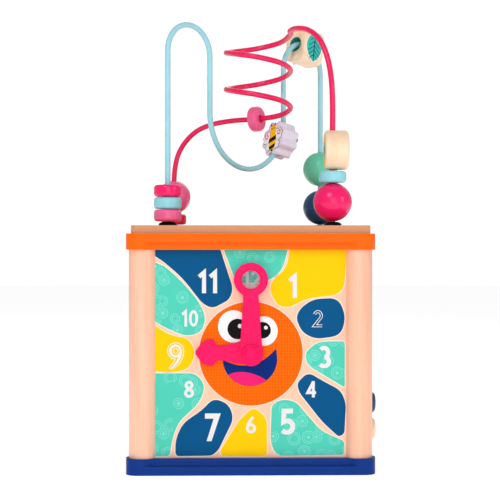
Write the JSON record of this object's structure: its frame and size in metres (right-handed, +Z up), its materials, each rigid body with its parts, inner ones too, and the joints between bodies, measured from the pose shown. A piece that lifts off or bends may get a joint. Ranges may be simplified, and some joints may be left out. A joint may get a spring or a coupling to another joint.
{
  "type": "baby activity cube",
  "caption": "Cube of play panels between round wooden corner posts, with a turning-hand clock on the front and beads threaded on two bent wires above the top board.",
  "frame": {"origin": "centre of the underside, on the surface that the cube stands on", "axes": "+Z up, clock panel facing -Y, track panel facing +X"},
  "size_m": [0.3015, 0.2961, 0.5586],
  "materials": {
    "navy_plastic": "moulded plastic, slight gloss",
    "orange_plastic": "moulded plastic, slight gloss",
    "yellow_plastic": "moulded plastic, slight gloss",
    "mint_plastic": "moulded plastic, slight gloss",
    "hot_pink_plastic": "glossy moulded plastic",
    "white_plastic": "plain moulded plastic",
    "black_plastic": "soft black plastic",
    "clear_plastic": "clear moulded lens",
    "plywood": "lacquered plywood with layered edges",
    "post_wood": "smooth clear-lacquered pale wood",
    "panel_wood": "smooth lacquered plywood with printed pictures",
    "bead_wood": "sanded natural wood",
    "screw_steel": "zinc-plated steel",
    "blue_coating": "smooth powder coat over steel wire",
    "pink_coating": "smooth powder coat over steel wire",
    "hot_pink_paint": "glossy painted wood",
    "light_pink_paint": "glossy painted wood",
    "red_paint": "glossy painted wood",
    "sky_paint": "glossy painted wood",
    "mint_paint": "glossy painted wood",
    "navy_paint": "glossy painted wood",
    "yellow_paint": "glossy painted wood",
    "orange_paint": "glossy painted wood",
    "lilac_paint": "satin painted wood"
  },
  "bodies": {
    "root": {"base_frame": "navy_plastic", "base_board": "plywood", "top_frame": "orange_plastic", "top_board": "plywood", "post_front_left": "post_wood", "post_front_right": "post_wood", "post_rear_left": "post_wood", "post_rear_right": "post_wood", "clock_panel": "panel_wood", "track_panel": "panel_wood", "gear_panel": "panel_wood", "tile_panel": "panel_wood", "post_screws": "screw_steel", "board_screws": "screw_steel", "clock_axle": "screw_steel", "clock_nut": "screw_steel", "hand_washer": "white_plastic", "hub_cap": "hot_pink_plastic", "wire_glands": "black_plastic", "wire_nuts": "screw_steel", "blue_wire": "blue_coating", "pink_wire": "pink_coating", "gear_axles": "navy_plastic", "gear_nuts": "screw_steel", "tile_rods": "screw_steel"},
    "hour_hand": {"hour_hand": "hot_pink_plastic"},
    "minute_hand": {"minute_hand": "hot_pink_plastic", "hand_lens": "clear_plastic"},
    "light_pink_disc": {"light_pink_disc": "light_pink_paint"},
    "sky_disc": {"sky_disc": "sky_paint"},
    "hot_pink_disc": {"hot_pink_disc": "hot_pink_paint"},
    "red_disc": {"red_disc": "red_paint"},
    "light_pink_ball": {"light_pink_ball": "light_pink_paint"},
    "helix_disc": {"helix_disc": "light_pink_paint"},
    "bee_bead": {"bee_bead": "lilac_paint"},
    "leaf_bead": {"leaf_bead": "bead_wood"},
    "hot_pink_ball": {"hot_pink_ball": "hot_pink_paint"},
    "sky_ring_disc": {"sky_ring_disc": "sky_paint"},
    "picture_bead": {"picture_bead": "bead_wood"},
    "navy_ball": {"navy_ball": "navy_paint"},
    "green_ball": {"green_ball": "mint_paint"},
    "gear_large": {"gear_large": "orange_plastic"},
    "gear_small": {"gear_small": "yellow_plastic"},
    "gear_middle": {"gear_middle": "mint_plastic"},
    "tile_1": {"tile_1": "yellow_paint"},
    "tile_2": {"tile_2": "mint_paint"},
    "tile_3": {"tile_3": "orange_paint"},
    "tile_4": {"tile_4": "navy_paint"},
    "tile_5": {"tile_5": "yellow_paint"},
    "tile_6": {"tile_6": "mint_paint"},
    "slider_navy": {"knob_navy": "navy_paint", "keeper_navy": "white_plastic"},
    "slider_wood": {"knob_wood": "bead_wood", "keeper_wood": "white_plastic"},
    "slider_yellow": {"knob_yellow": "yellow_paint", "keeper_yellow": "white_plastic"},
    "slider_mint": {"knob_mint": "mint_paint", "keeper_mint": "white_plastic"}
  },
  "joints": [
    {"name": "minute_turn", "type": "hinge", "parent": "root", "child": "minute_hand", "pos_m": [0, -0.14, 0.142], "axis": [0, 1, 0], "continuous": true},
    {"name": "hour_turn", "type": "hinge", "parent": "root", "child": "hour_hand", "pos_m": [0, -0.137, 0.142], "axis": [0, 1, 0], "continuous": true},
    {"name": "light_pink_disc_lift", "type": "slide", "parent": "root", "child": "light_pink_disc", "axis": [0, 0, 1], "range_m": [0, 0.05]},
    {"name": "sky_disc_lift", "type": "slide", "parent": "light_pink_disc", "child": "sky_disc", "axis": [0, 0, 1], "range_m": [0, 0.05]},
    {"name": "hot_pink_disc_lift", "type": "slide", "parent": "sky_disc", "child": "hot_pink_disc", "axis": [0, 0, 1], "range_m": [0, 0.05]},
    {"name": "red_disc_lift", "type": "slide", "parent": "root", "child": "red_disc", "axis": [0, 0, 1], "range_m": [0, 0.006]},
    {"name": "light_pink_ball_lift", "type": "slide", "parent": "red_disc", "child": "light_pink_ball", "axis": [0, 0, 1], "range_m": [0, 0.008]},
    {"name": "hot_pink_ball_lift", "type": "slide", "parent": "root", "child": "hot_pink_ball", "axis": [0, 0, 1], "range_m": [0, 0.011]},
    {"name": "sky_ring_disc_lift", "type": "slide", "parent": "hot_pink_ball", "child": "sky_ring_disc", "axis": [0, 0, 1], "range_m": [0, 0.011]},
    {"name": "picture_bead_lift", "type": "slide", "parent": "sky_ring_disc", "child": "picture_bead", "axis": [0, 0, 1], "range_m": [0, 0.011]},
    {"name": "navy_ball_lift", "type": "slide", "parent": "root", "child": "navy_ball", "axis": [0, 0, 1], "range_m": [0, 0.05]},
    {"name": "green_ball_lift", "type": "slide", "parent": "navy_ball", "child": "green_ball", "axis": [0, 0, 1], "range_m": [0, 0.05]},
    {"name": "helix_disc_spin", "type": "hinge", "parent": "root", "child": "helix_disc", "pos_m": [0.011, 0.0465, 0.43445], "axis": [-0.874, 0.4822, -0.0603], "continuous": true},
    {"name": "bee_swing", "type": "hinge", "parent": "root", "child": "bee_bead", "pos_m": [0.04237, 0.04237, 0.40606], "axis": [0.2876, 0.2876, 0.9135], "range_deg": [-20, 45]},
    {"name": "leaf_spin", "type": "hinge", "parent": "root", "child": "leaf_bead", "pos_m": [0.0764, 0.0764, 0.53314], "axis": [0.7002, 0.7002, -0.1392], "continuous": true},
    {"name": "navy_knob_slide", "type": "slide", "parent": "root", "child": "slider_navy", "axis": [0, 0, 1], "range_m": [0, 0.155]},
    {"name": "wood_knob_slide", "type": "slide", "parent": "root", "child": "slider_wood", "axis": [0, 1, 0], "range_m": [0, 0.12]},
    {"name": "yellow_knob_slide", "type": "slide", "parent": "root", "child": "slider_yellow", "axis": [0, 0, 1], "range_m": [0, 0.135]},
    {"name": "mint_knob_slide", "type": "slide", "parent": "root", "child": "slider_mint", "axis": [0, 0, 1], "range_m": [0, 0.145]},
    {"name": "gear_large_spin", "type": "hinge", "parent": "root", "child": "gear_large", "pos_m": [0.05, 0.138, 0.175], "axis": [0, 1, 0], "continuous": true},
    {"name": "gear_small_spin", "type": "hinge", "parent": "root", "child": "gear_small", "pos_m": [-0.01344, 0.138, 0.14542], "axis": [0, 1, 0], "continuous": true},
    {"name": "gear_middle_spin", "type": "hinge", "parent": "root", "child": "gear_middle", "pos_m": [-0.04958, 0.138, 0.09381], "axis": [0, 1, 0], "continuous": true},
    {"name": "tile_1_turn", "type": "hinge", "parent": "root", "child": "tile_1", "pos_m": [-0.131, 0.052, 0.19], "axis": [0, 1, 0], "continuous": true},
    {"name": "tile_2_turn", "type": "hinge", "parent": "root", "child": "tile_2", "pos_m": [-0.131, 0, 0.19], "axis": [0, 1, 0], "continuous": true},
    {"name": "tile_3_turn", "type": "hinge", "parent": "root", "child": "tile_3", "pos_m": [-0.131, -0.052, 0.19], "axis": [0, 1, 0], "continuous": true},
    {"name": "tile_4_turn", "type": "hinge", "parent": "root", "child": "tile_4", "pos_m": [-0.131, 0.052, 0.1], "axis": [0, 1, 0], "continuous": true},
    {"name": "tile_5_turn", "type": "hinge", "parent": "root", "child": "tile_5", "pos_m": [-0.131, 0, 0.1], "axis": [0, 1, 0], "continuous": true},
    {"name": "tile_6_turn", "type": "hinge", "parent": "root", "child": "tile_6", "pos_m": [-0.131, -0.052, 0.1], "axis": [0, 1, 0], "continuous": true}
  ],
  "couplings": [
    {"joint": "gear_small_spin", "follows": "gear_large_spin", "ratio": -1.5},
    {"joint": "gear_middle_spin", "follows": "gear_large_spin", "ratio": 1.2}
  ]
}
